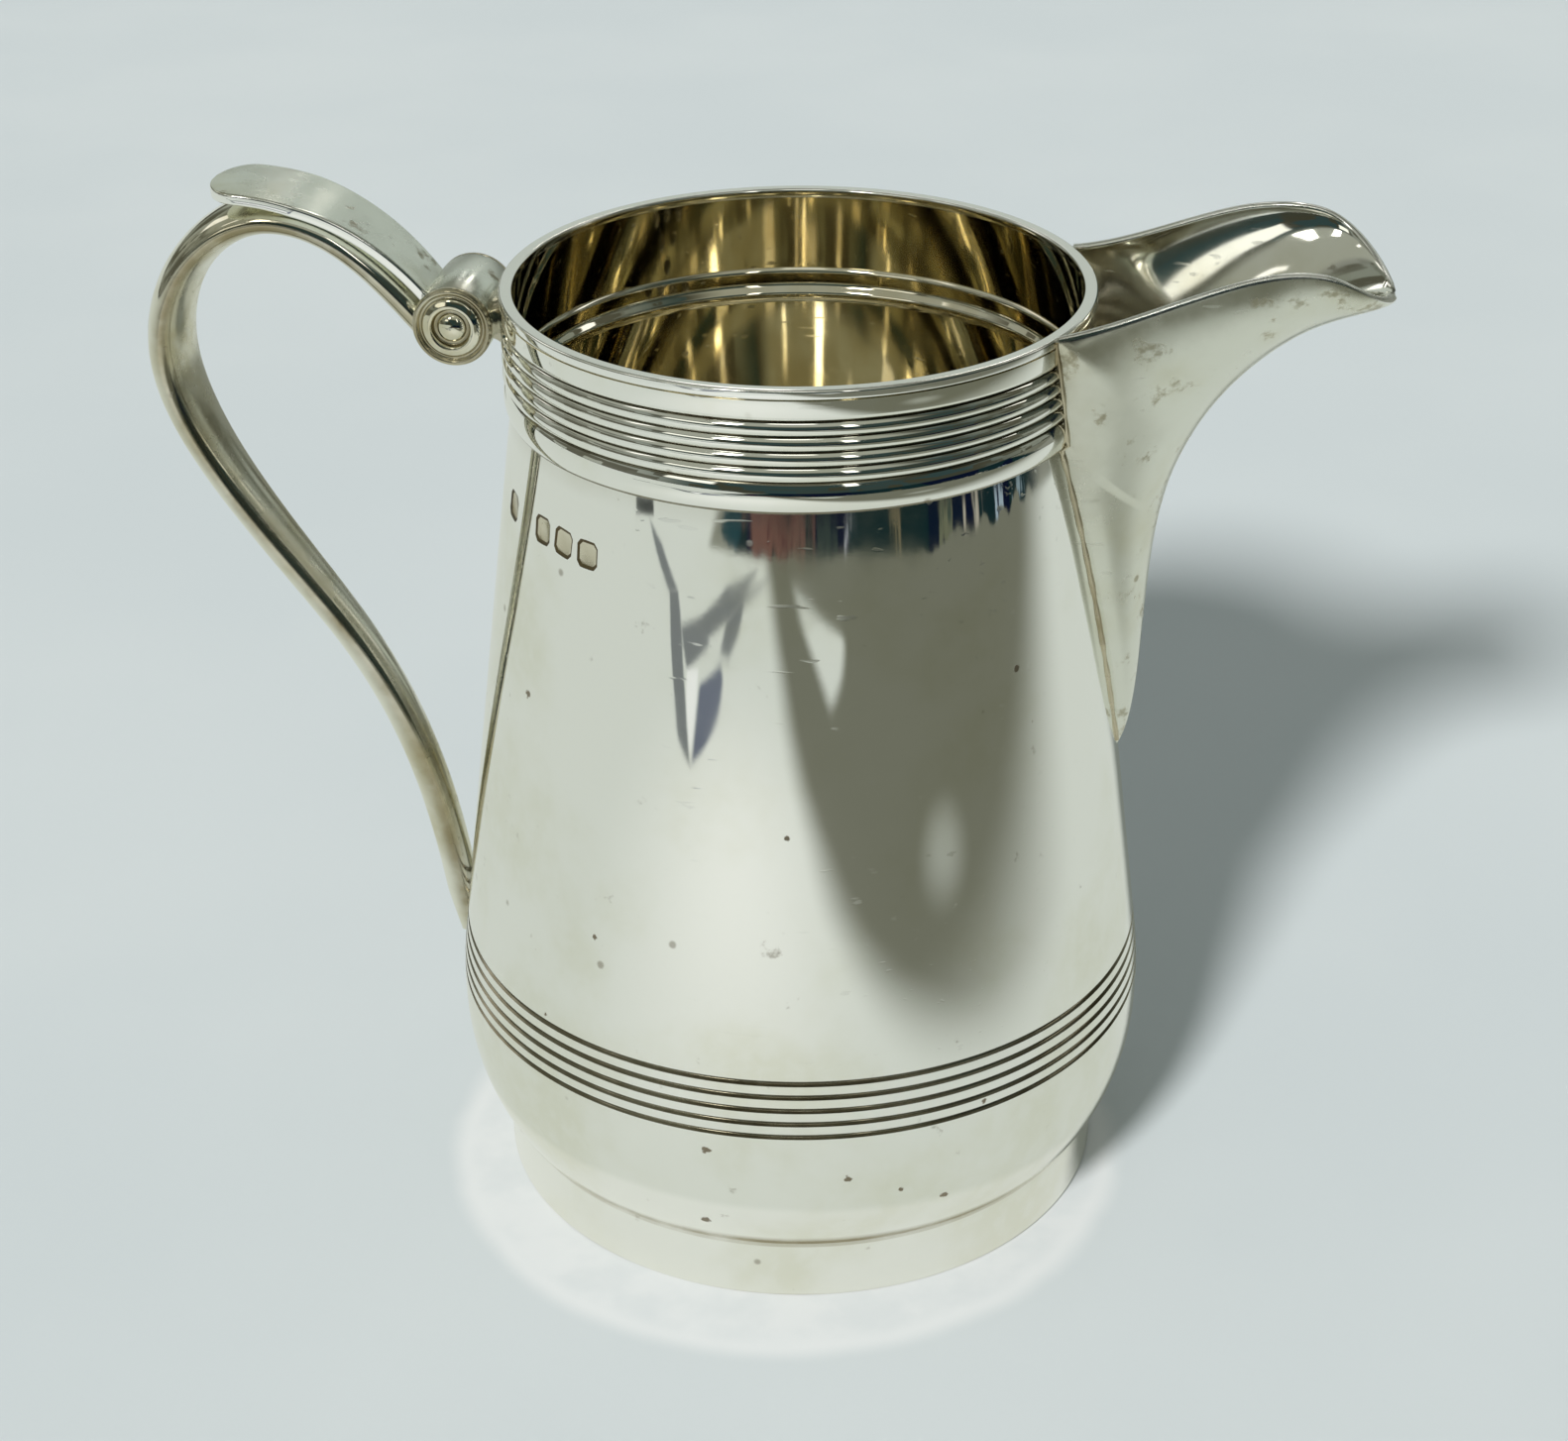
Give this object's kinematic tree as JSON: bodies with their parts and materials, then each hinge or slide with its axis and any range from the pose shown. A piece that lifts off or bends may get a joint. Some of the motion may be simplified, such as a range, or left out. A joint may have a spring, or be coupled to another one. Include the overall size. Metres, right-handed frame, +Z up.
{
  "type": "cream jug",
  "caption": "Tapered silver cream jug on a foot ring, with a reeded collar, a beak spout and a scroll handle springing from a plain barrel.",
  "frame": {"origin": "centre of the foot ring's flat underside", "axes": "+Z up along the jug's axis, +X towards the spout, -X towards the handle"},
  "size_m": [0.1229, 0.073, 0.1066],
  "materials": {
    "silver_body": "polished silver, fine scratches",
    "silver_gilt": "polished silver, warm gilt and tarnish",
    "silver_spout": "polished silver, tarnish blotches",
    "silver_handle": "polished silver, brown in the recesses",
    "silver_worn": "rubbed silver, tarnish specks"
  },
  "bodies": {
    "root": {"body_shell": "silver_body", "base_disc": "silver_gilt", "foot_ring": "silver_body", "neck_ring": "silver_gilt", "neck_collar": "silver_body", "rim_wire": "silver_body", "spout": "silver_spout", "handle_scroll": "silver_handle", "thumb_rest": "silver_worn", "barrel": "silver_worn", "barrel_saddle": "silver_handle", "barrel_boss_front": "silver_handle", "barrel_boss_rear": "silver_handle"}
  },
  "joints": []
}
